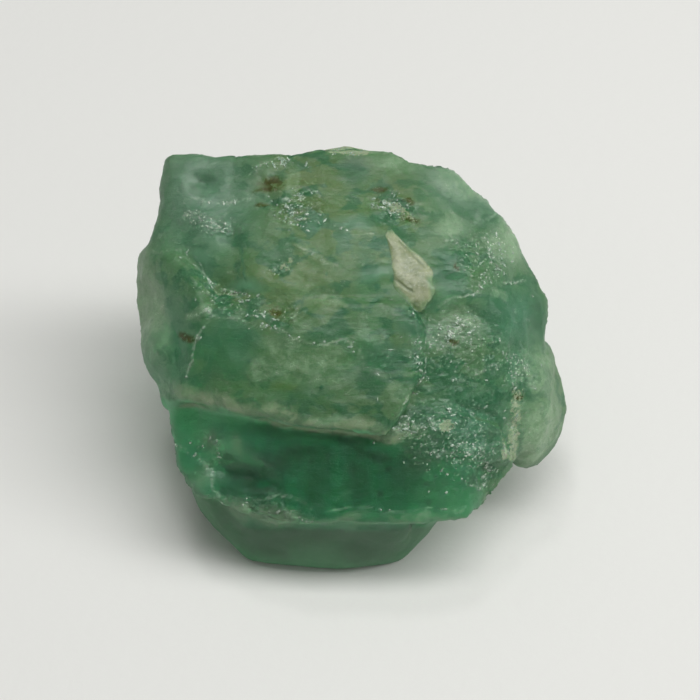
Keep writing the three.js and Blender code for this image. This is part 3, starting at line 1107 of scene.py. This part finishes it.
def face_place(tree):
    """Places on the show face, in millimetres: u, v and w as a vector."""
    turn = Matrix.Rotation(LEAN - math.pi / 2, 3, "X")
    return tree.add(
        "ShaderNodeMapping",
        {"vector_type": "POINT"},
        {
            "Vector": tree.add("ShaderNodeTexCoord", None, None, "Object"),
            "Location": -(turn @ FOOT) / MM,
            "Rotation": turn.to_euler(),
            "Scale": (1 / MM, 1 / MM, 1 / MM),
        },
    )


def paint(given):
    """A colour with its fourth number, as sockets take it."""
    return (*given, 1.0)


def painted(tree, name):
    """The value that the mesh's points keep under a name, for materials."""
    return tree.add("ShaderNodeAttribute", {"attribute_name": name}, None, "Fac")


def bumps(tree, strength, distance, height):
    """Relief too fine for the mesh."""
    values = {"Strength": strength, "Distance": distance, "Height": height}
    return tree.add("ShaderNodeBump", None, values)


def finish_material(material, tree, surface, volume=None):
    """Gives the material its surface and, if it has one, its volume."""
    values = {"Surface": surface}
    if volume is not None:
        values["Volume"] = volume
    tree.add("ShaderNodeOutputMaterial", None, values, None)
    return material


def beryl(colours):
    """Clear green beryl that turns cloudy with veils, cracks and stains."""
    material, tree = new_material("Beryl")
    place = face_place(tree)
    names = ("milk", "deep", "broken", "clear", "streak", "rind", "olive", "teal", "haze_and_sheen", "under")
    milk, deep, broken, clear, streak, rind, olive, teal, haze_and_sheen, under = (
        painted(tree, name) for name in names
    )
    smooth, stained = painted(tree, "smooth"), painted(tree, "stain")
    drifts = tree.noise(place, 0.38, 3.0, 0.55, 0.3)
    mottle = tree.noise(place, 1.2, 5.0, 0.68, 0.2)
    specks = tree.noise(place, 7.0, 2.0, 0.6)

    # Growth layers, each of its own tone, with wisps along some of their edges.
    layers = 6.0
    field = tree.noise(tree.stretched(place, (0.75, 1.3, 1.1)), 0.9, 5.0, 0.55, 0.35) * layers
    layer = tree.math("FLOOR", field)
    part = tree.math("FRACT", field)

    def tone_of(number):
        settings = {"noise_dimensions": "1D"}
        return tree.add("ShaderNodeTexWhiteNoise", settings, {"W": number}, "Value")

    tone = tone_of(layer)
    tone = tone + (tone_of(layer + 1) - tone) * tree.rise(part, 0.8, 1.0)
    edge = 1 - tree.rise(part, 0.02, 0.09)
    wisps = edge * tree.rise(mottle, 0.47, 0.6) * (1 - 0.55 * deep)

    # Fine white dust: a dot in some of the cells, each of its own size.
    cells = {"Vector": place, "Scale": 6.5}
    cell = tree.add("ShaderNodeTexVoronoi", {"feature": "F1"}, cells, "Distance")
    chance = tree.add("ShaderNodeSeparateColor", None, {0: cell.output("Color")}, "Red")
    reach = tree.rise(chance + painted(tree, "dusty") * 0.5, 0.75, 1.45) * 0.4
    reach = reach * tree.rise(mottle, 0.36, 0.56)
    dust = tree.rise(reach - cell, 0.0, 0.1) * (1 - 0.75 * deep) * (1 - 0.9 * under)

    # The greens of the body, from the ground colour up.
    window = (deep * 0.85 + (drifts - 0.5) * 0.8 * (1 - milk)).clamped()
    shade = tree.blend(olive * (0.7 + mottle * 0.5), paint(colours.body), paint(colours.olive))
    shade = tree.blend(teal * 0.8, shade, paint(colours.teal))
    shade = tree.blend(window * 0.92, shade, paint(colours.window))
    shade = tree.blend(teal * deep * 0.45, shade, paint(colours.teal))
    shade = tree.blend(clear * (0.35 + mottle) * (1 - deep), shade, paint(colours.deep))
    # Hazy ground, partly a painted sheen of the light reflected off the upper faces.
    shade = tree.blend(haze_and_sheen * (0.15 + mottle * 0.75), shade, paint(colours.haze_and_sheen))
    # Frosted skin, and painted light on the thin end crystals, lighter as if lit through.
    frost_and_glow = painted(tree, "frost_and_glow") * (0.5 + 0.4 * tree.rise(mottle, 0.42, 0.58))
    shade = tree.blend(frost_and_glow * 0.75, shade, paint(colours.frost_and_glow))

    # Upright bars in the deep face, then veils and the band along the ridge.
    bars = tree.noise(tree.stretched(place, (2.2, 0.22, 1.0)), 1.0, 3.0, 0.5)
    bars = tree.rise(bars, 0.5, 0.66) * deep
    shade = tree.blend(bars * 0.4, shade, paint(colours.teal))
    calm = (1 - 0.5 * deep) * (1 - 0.5 * smooth)
    veil = tree.rise(tone, 0.4, 1.0) * 0.2 * calm * (1 - 0.5 * broken)
    veil = milk * (0.15 + tree.rise(mottle, 0.4, 0.6) * 0.38) + veil
    shade = tree.blend((veil * (1 - under)).clamped(), shade, paint(colours.pale))
    shade = tree.blend(painted(tree, "band") * (0.2 + 0.5 * mottle), shade, paint(colours.rind))

    # Dark pools, hollows and flecks.
    pools = tree.noise(tree.stretched(place, (0.8, 1.15, 1.0)), 0.9, 4.0, 0.5, 0.5)
    pools = tree.rise(pools, 0.5, 0.57) * (0.4 + 0.35 * tone + 0.15 * broken)
    pools = pools * (1 - 0.45 * smooth) * (1 - 0.6 * milk) * (1 - 0.7 * deep) * (1 - 0.6 * haze_and_sheen)
    dark = painted(tree, "dark") * tree.rise(mottle, 0.3, 0.6) + pools
    dark = dark + painted(tree, "fleck") + tree.rise(0.5 - specks, 0.05, 0.3) * 0.25
    shade = tree.blend(dark.clamped(), shade, paint(colours.deep))
    # Painted shade: the side turned to the floor in a flat grey-green, as it looks in its own shade.
    shade = tree.blend(under * 0.8, shade, paint(colours.under))

    # Pale specks and short dashes along the stone.
    pale_specks = tree.rise(specks, 0.45, 0.75) * (0.14 + 0.2 * broken - 0.09 * deep)
    shade = tree.blend(pale_specks, shade, paint(colours.pale))
    dashes = tree.noise(tree.stretched(place, (2.8, 6.0, 4.0)), 1.0, 3.0, 0.55)
    pale_dashes = tree.rise(dashes, 0.56, 0.72) * (0.22 - 0.14 * deep)
    shade = tree.blend(pale_dashes, shade, paint(colours.haze_and_sheen))
    shade = tree.blend(tree.rise(0.5 - dashes, 0.06, 0.2) * 0.16, shade, paint(colours.deep))

    # Stains, cracks, crushed edges, dust and crumbs of host rock.
    stain = stained * tree.rise(tree.noise(place, 2.6, 4.0, 0.7), 0.36, 0.52)
    shade = tree.blend(stained * 0.6, shade, paint(colours.olive))
    shade = tree.blend(stain * 0.95, shade, paint(colours.stain))
    cracks = streak * tree.rise(mottle + specks * 0.9, 0.8, 1.05)
    crushed = tree.rise(specks + broken * 0.1, 0.68, 0.78) * broken
    bright = (wisps * 0.3 + cracks * 0.38 + crushed * 0.35 + dust * 0.7).clamped()
    shade = tree.blend(bright, shade, paint(colours.white))
    crumb = tree.rise(rind + (specks - 0.5) * 1.8, 0.5, 0.85)
    shade = tree.blend(crumb * 0.65, shade, paint(colours.rind))

    # How cloudy the beryl is. Light already inside meets no cloudy skin on its way out.
    cloudy = 0.82 + 0.15 * milk - 0.32 * window - 0.25 * clear
    cloudy = cloudy + bright * 0.4 + stain * 0.4 + crumb + under * 0.1
    inside = tree.add("ShaderNodeNewGeometry", None, None, "Backfacing")
    factor = cloudy.clamped() * (1 - inside)

    chips = tree.facets(tree.scaled(tree.stretched(place, (0.7, 1.4, 1.0)), 4.0))
    grains = tree.facets(tree.scaled(place, 8.0))
    relief = chips * (0.14 + broken) * 0.045 + grains * (0.25 + broken) * 0.015 + part * 0.014
    bump = bumps(tree, 0.9, MM, relief)
    roughness = 0.3 + 0.2 * tree.rise(mottle, 0.25, 0.75) + crumb * 0.3 + under * 0.15
    roughness = roughness.clamped()

    surface_of_clear = tree.add(
        "ShaderNodeBsdfPrincipled",
        None,
        {
            "Base Color": paint(colours.clear),
            "Transmission Weight": 1.0,
            "IOR": BERYL_IOR,
            "Roughness": roughness,
            "Normal": bump,
        },
    )
    surface_of_milky = tree.add(
        "ShaderNodeBsdfPrincipled",
        None,
        {
            "Base Color": shade,
            "Subsurface Weight": 1.0,
            "Subsurface Radius": (0.5, 1.0, 0.6),
            "Subsurface Scale": 0.1 * MM,
            "Specular IOR Level": 0.25,
            "IOR": BERYL_IOR,
            "Roughness": roughness,
            "Normal": bump,
        },
    )
    both = {0: factor, 1: surface_of_clear, 2: surface_of_milky}
    surface = tree.add("ShaderNodeMixShader", None, both)
    values = {"Color": paint(colours.absorption), "Density": BERYL_DENSITY}
    absorption = tree.add("ShaderNodeVolumeAbsorption", None, values)
    return finish_material(material, tree, surface, absorption)


def cream_beryl(colours):
    """The sliver: cream, translucent and cracked."""
    material, tree = new_material("Cream sliver")
    place = face_place(tree)
    mottle = tree.noise(place, 1.8, 5.0, 0.6, 0.4)
    grit = tree.noise(place, 8.0, 4.0, 0.65)
    crack = painted(tree, "crack")
    lightness = tree.rise(mottle, 0.25, 0.75)
    shade = tree.blend(lightness, paint(colours.cream_dark), paint(colours.cream_light))
    shade = tree.blend(tree.rise(grit, 0.55, 0.7) * 0.4, shade, paint(colours.cream_grit))
    shade = tree.blend(crack * 0.4, shade, paint(colours.cream_crack))
    shade = tree.blend(painted(tree, "rim") * 0.7, shade, paint(colours.cream_rim))
    chips = tree.facets(tree.scaled(place, 2.6))
    bump = bumps(tree, 0.6, MM, chips * 0.06 + grit * 0.03 - crack * 0.03)
    cream = tree.add(
        "ShaderNodeBsdfPrincipled",
        None,
        {
            "Base Color": shade,
            "Subsurface Weight": 0.8,
            "Subsurface Radius": (1.0, 1.0, 0.6),
            "Subsurface Scale": 0.5 * MM,
            "Roughness": 0.2 + 0.3 * mottle,
            "Normal": bump,
        },
    )
    return finish_material(material, tree, cream)


def crushed_beryl(colours):
    """The white of crushed beryl, with a glassy glint."""
    material, tree = new_material("Crushed beryl")
    place = face_place(tree)
    mottle = tree.noise(place, 5.0, 3.0, 0.6)
    shade = tree.blend(tree.rise(mottle, 0.42, 0.85), paint(colours.haze_and_sheen), paint(colours.white))
    white = tree.add(
        "ShaderNodeBsdfPrincipled",
        None,
        {
            "Base Color": shade,
            "Roughness": 0.12 + 0.2 * mottle,
            "IOR": BERYL_IOR,
            "Normal": bumps(tree, 0.3, MM, tree.noise(place, 20.0) * 0.02),
        },
    )
    return finish_material(material, tree, white)


def sealed_beryl(colours):
    """The veils and needles sealed inside the clear beryl: pale, with a few dark ones."""
    material, tree = new_material("Sealed veils")
    place = face_place(tree)
    mottle = tree.noise(place, 2.6, 3.0, 0.6)
    shade = tree.blend(tree.rise(mottle, 0.3, 0.5), paint(colours.deep), paint(colours.haze_and_sheen))
    shade = tree.blend(tree.rise(mottle, 0.55, 0.7) * 0.6, shade, paint(colours.white))
    veil = tree.add(
        "ShaderNodeBsdfPrincipled",
        None,
        {"Base Color": shade, "Roughness": 0.3 + 0.3 * mottle, "IOR": BERYL_IOR},
    )
    return finish_material(material, tree, veil)


def paper(colours):
    """Plain pale paper with a faint tooth."""
    material, tree = new_material("Paper")
    place = tree.add("ShaderNodeTexCoord", None, None, "Object")
    tooth = tree.noise(place, 900.0, 4.0, 0.6)
    bump = bumps(tree, 0.25, 0.1 * MM, tooth)
    sheet = tree.add(
        "ShaderNodeBsdfPrincipled",
        None,
        {"Base Color": paint(colours.paper), "Roughness": 0.85, "Normal": bump},
    )
    return finish_material(material, tree, sheet)


# ------------------------------------------------------------------ the pieces laid on the stone


def stone_surface():
    """The finished stone as a tree that can be searched, in metres."""
    return BVHTree.FromObject(bpy.data.objects["crystal"], bpy.context.evaluated_depsgraph_get())


def surface_height(tree, u, v):
    """How far out of the show face the stone reaches at u, v, in millimetres."""
    clear_of_stone = 14
    hit, _, _, _ = tree.ray_cast(from_face(u, v, clear_of_stone), -OUT)
    if hit is None:
        raise RuntimeError("there is no stone under a point of the show face")
    return (hit - FOOT).dot(OUT) / MM


def rounded_outline(corners, steps):
    """A closed smooth line through the corners, with steps points between each two."""
    count = len(corners)
    line = []
    for index in range(count):
        a, b, c, d = (np.array(corners[(index + shift) % count]) for shift in (-1, 0, 1, 2))
        for step in range(steps):
            t = step / steps
            bend = (2 * a - 5 * b + 4 * c - d) * t * t + (3 * b - a - 3 * c + d) * t * t * t
            line.append(0.5 * (2 * b + (c - a) * t + bend))
    return np.array(line)


def sliver_mesh(height_mm):
    """A thin lens that lies along the stone's surface, with its cracks marked."""
    steps_to_corner = 8
    rings = 26
    sunk = 0.22
    edge_dip = 0.03
    crack_depth = 0.03
    slope = 0.05
    outline = rounded_outline(SLIVER, steps_to_corner)
    middle = outline.mean(axis=0)
    tree = stone_surface()
    spots = [middle]
    shares = [0.0]
    for ring in range(1, rings + 1):
        share = ring / rings
        spots.extend(middle + (outline - middle) * share)
        shares.extend([share] * len(outline))
    spots = np.array(spots)
    shares = np.array(shares)
    ground = np.array([surface_height(tree, u, v) for u, v in spots])
    face = np.column_stack([spots, np.zeros(len(spots))])
    crack = np.zeros(len(spots))
    for line in SLIVER_CRACKS:
        distance, _ = line_distance(face, line)
        crack = np.maximum(crack, 1 - smooth_step(0.03, 0.12, distance))
    waves = 0.025 * wavy(face, 0.4, 31) + 0.012 * wavy(face, 0.16, 32)
    dome = height_mm * (1 - shares**4) + waves * (1 - shares**2) - edge_dip * shares**6
    tilt = slope * (spots[:, 0] - middle[0])
    top = ground + dome - tilt * (1 - shares**2) - crack_depth * crack * (1 - shares**4)
    low = ground - edge_dip - sunk * (1 - shares)
    work = bmesh.new()
    upper = [work.verts.new(from_face(*spot, w)) for spot, w in zip(spots, top)]
    count = len(outline)
    last = 1 + (rings - 1) * count
    lower = [work.verts.new(from_face(*spot, w)) for spot, w in zip(spots[:last], low[:last])]
    lower.extend(upper[last:])
    for side in (upper, lower):
        for step in range(count):
            after = (step + 1) % count
            work.faces.new((side[0], side[1 + step], side[1 + after]))
            for ring in range(rings - 1):
                near, far = 1 + ring * count, 1 + (ring + 1) * count
                corners = (side[near + step], side[far + step], side[far + after], side[near + after])
                work.faces.new(corners)
    bmesh.ops.recalc_face_normals(work, faces=work.faces)
    mesh = bpy.data.meshes.new("cream_sliver")
    work.to_mesh(mesh)
    work.free()
    store(mesh, "crack", np.concatenate([crack, crack[:last]]))
    rim = smooth_step(0.75, 1.0, shares + 0.12 * wavy(face, 0.3, 33))
    store(mesh, "rim", np.concatenate([rim, rim[:last]]))
    mesh.shade_smooth()
    return mesh


# ------------------------------------------------------------------ operators


class EMERALD_OT_crystal(bpy.types.Operator):
    """Build the broken, glassy body of the crystal"""

    bl_idname = "emerald.crystal"
    bl_label = "Crystal"

    def execute(self, context):
        shape = context.scene.emerald_shape
        colours = context.scene.emerald_colours
        mesh = remeshed(merged_copy(CRYSTAL_NODE), shape.grain / MM)
        mark_finishes(mesh)
        cut_ledges(mesh)
        working = new_object("fine stone", mesh)
        modifier = working.modifiers.new("Relief", "NODES")
        modifier.node_group = relief_tree()
        values = {
            "Step depth": shape.step_depth / MM,
            "Step pitch": shape.step_pitch / MM,
            "Facet depth": shape.facet_depth / MM,
            "Facet size": shape.facet_size / MM,
            "Hackle depth": shape.hackle_depth / MM,
            "Hackle size": shape.hackle_size / MM,
            "Seed": float(shape.seed),
            "Wear": shape.wear,
            "Material": beryl(colours),
        }
        set_inputs(modifier, values)
        stone = new_object("crystal", frozen(working, "crystal"))
        stone.data.transform(METRES)
        keep_above_floor(stone.data)
        stone.data.shade_smooth()
        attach(stone, BODY)
        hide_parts(CRYSTAL_NODE)
        return {"FINISHED"}


class EMERALD_OT_sliver(bpy.types.Operator):
    """Lay the cream sliver on the upper face"""

    bl_idname = "emerald.sliver"
    bl_label = "Cream sliver"

    def execute(self, context):
        shape = context.scene.emerald_shape
        sliver = new_object("cream_sliver", sliver_mesh(shape.sliver_height / MM))
        sliver.data.materials.append(cream_beryl(context.scene.emerald_colours))
        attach(sliver, BODY)
        return {"FINISHED"}


class EMERALD_OT_chips(bpy.types.Operator):
    """Strew chips of crushed beryl over the breaks"""

    bl_idname = "emerald.chips"
    bl_label = "Crushed chips"

    def execute(self, context):
        shape = context.scene.emerald_shape
        values = {
            "Count per square": shape.chips,
            "Smallest": shape.chip_smallest / MM,
            "Largest": shape.chip_largest / MM,
            "Shortest": 0.6,
            "Longest": 2.6,
            "Spread": 2.5,
            "Seed": shape.seed,
            "Material": crushed_beryl(context.scene.emerald_colours),
        }
        strewn("crushed_chips", mask="sparkle", clumping=1.7, values=values)
        return {"FINISHED"}


class EMERALD_OT_splinters(bpy.types.Operator):
    """Lay pale splinters along the stone's fine cracks"""

    bl_idname = "emerald.splinters"
    bl_label = "Splinters"

    def execute(self, context):
        shape = context.scene.emerald_shape
        values = {
            "Count per square": shape.splinters,
            "Smallest": shape.splinter_thinnest / MM,
            "Largest": shape.splinter_thickest / MM,
            "Shortest": 1.5,
            "Longest": 6.5,
            "Spread": 1.1,
            "Seed": shape.seed + 1,
            "Material": crushed_beryl(context.scene.emerald_colours),
        }
        strewn("pale_splinters", mask="splintered", clumping=0.9, values=values)
        return {"FINISHED"}


class EMERALD_OT_veils(bpy.types.Operator):
    """Seal veils and needles inside the clear windows"""

    bl_idname = "emerald.veils"
    bl_label = "Sealed veils"

    def execute(self, context):
        shape = context.scene.emerald_shape
        values = {
            "Count per square": shape.veils,
            "Smallest": shape.veil_thinnest / MM,
            "Largest": shape.veil_thickest / MM,
            "Shortest": 1.5,
            "Longest": 5.0,
            "Spread": 0.8,
            "Deepest": shape.veil_depth / MM,
            "Seed": shape.seed + 2,
            "Material": sealed_beryl(context.scene.emerald_colours),
        }
        strewn("sealed_veils", mask="sealed", clumping=0.6, values=values)
        return {"FINISHED"}


# The stage, in metres: the sheet, the room's light, and each lamp's place, size and strength.
PAPER_HALF_WIDTH = 0.6
ROOM_COLOUR = (1.0, 1.0, 0.985, 1.0)
ROOM_STRENGTH = 0.26
STRIP = ("Strip", (0.12, -0.012, 0.28), (0.08, 0.46), 1.12)
KEY = ("Key", (-0.04, 0.10, 0.30), (0.04, 0.04), 0.08)

# The middle of the view, on the show face, and the camera's sensor, in millimetres.
AIM = from_face(0, 11.45, 3)
SENSOR_WIDTH = 36.0


class EMERALD_OT_stage(bpy.types.Operator):
    """Lay the paper, set the soft light and aim the camera"""

    bl_idname = "emerald.stage"
    bl_label = "Stage"

    def execute(self, context):
        stage = context.scene.emerald_stage
        colours = context.scene.emerald_colours
        work = bmesh.new()
        bmesh.ops.create_grid(work, x_segments=2, y_segments=2, size=PAPER_HALF_WIDTH)
        sheet = bpy.data.meshes.new("paper")
        work.to_mesh(sheet)
        work.free()
        sheet.transform(Matrix.Translation((0, 0, LOW.z)))
        floor = new_object("paper", sheet)
        floor.data.materials.append(paper(colours))

        world = bpy.data.worlds.new("Room")
        context.scene.world = world
        world.use_nodes = True
        background = world.node_tree.nodes["Background"]
        background.inputs["Color"].default_value = ROOM_COLOUR
        background.inputs["Strength"].default_value = ROOM_STRENGTH * stage.light
        for name, place, size, power in (STRIP, KEY):
            soft_light(name, place, Vector((0, 0, HIGH.z / 2)), size, power * stage.light)

        lens = bpy.data.cameras.new("Camera")
        lens.sensor_width = SENSOR_WIDTH
        lens.lens = lens.sensor_width * stage.distance / stage.view_width
        lens.clip_start = MM
        camera = new_object("Camera", lens)
        camera.location = AIM + OUT * stage.distance
        camera.rotation_euler = (AIM - camera.location).to_track_quat("-Z", "Y").to_euler()
        context.scene.camera = camera
        context.scene.view_settings.view_transform = "Standard"
        return {"FINISHED"}


def soft_light(name, place, target, size, power):
    """A soft light that faces the target; its size is across and up."""
    lamp = bpy.data.lights.new(name, "AREA")
    lamp.shape = "RECTANGLE"
    lamp.size, lamp.size_y = size
    lamp.energy = power
    light = new_object(name, lamp)
    light.location = place
    light.rotation_euler = (Vector(target) - light.location).to_track_quat("-Z", "Y").to_euler()
    return light


STEPS = (
    EMERALD_OT_crystal,
    EMERALD_OT_sliver,
    EMERALD_OT_chips,
    EMERALD_OT_splinters,
    EMERALD_OT_veils,
    EMERALD_OT_stage,
)


class EMERALD_PT_parts(bpy.types.Panel):
    """The stone's parts, in the order they are made"""

    bl_idname = "EMERALD_PT_parts"
    bl_label = "Raw emerald crystal"
    bl_space_type = "VIEW_3D"
    bl_region_type = "UI"
    bl_category = "Emerald"

    def draw(self, context):
        for step in STEPS:
            self.layout.operator(step.bl_idname)


CLASSES = (EmeraldShape, EmeraldColours, EmeraldStage, *STEPS, EMERALD_PT_parts)


def register():
    for each in CLASSES:
        bpy.utils.register_class(each)
    bpy.types.Scene.emerald_shape = PointerProperty(type=EmeraldShape)
    bpy.types.Scene.emerald_colours = PointerProperty(type=EmeraldColours)
    bpy.types.Scene.emerald_stage = PointerProperty(type=EmeraldStage)


def unregister():
    del bpy.types.Scene.emerald_stage
    del bpy.types.Scene.emerald_colours
    del bpy.types.Scene.emerald_shape
    for each in reversed(CLASSES):
        bpy.utils.unregister_class(each)


def main():
    register()
    bpy.ops.emerald.crystal()
    bpy.ops.emerald.sliver()
    bpy.ops.emerald.chips()
    bpy.ops.emerald.splinters()
    bpy.ops.emerald.veils()
    bpy.ops.emerald.stage()


if __name__ == "__main__":
    main()
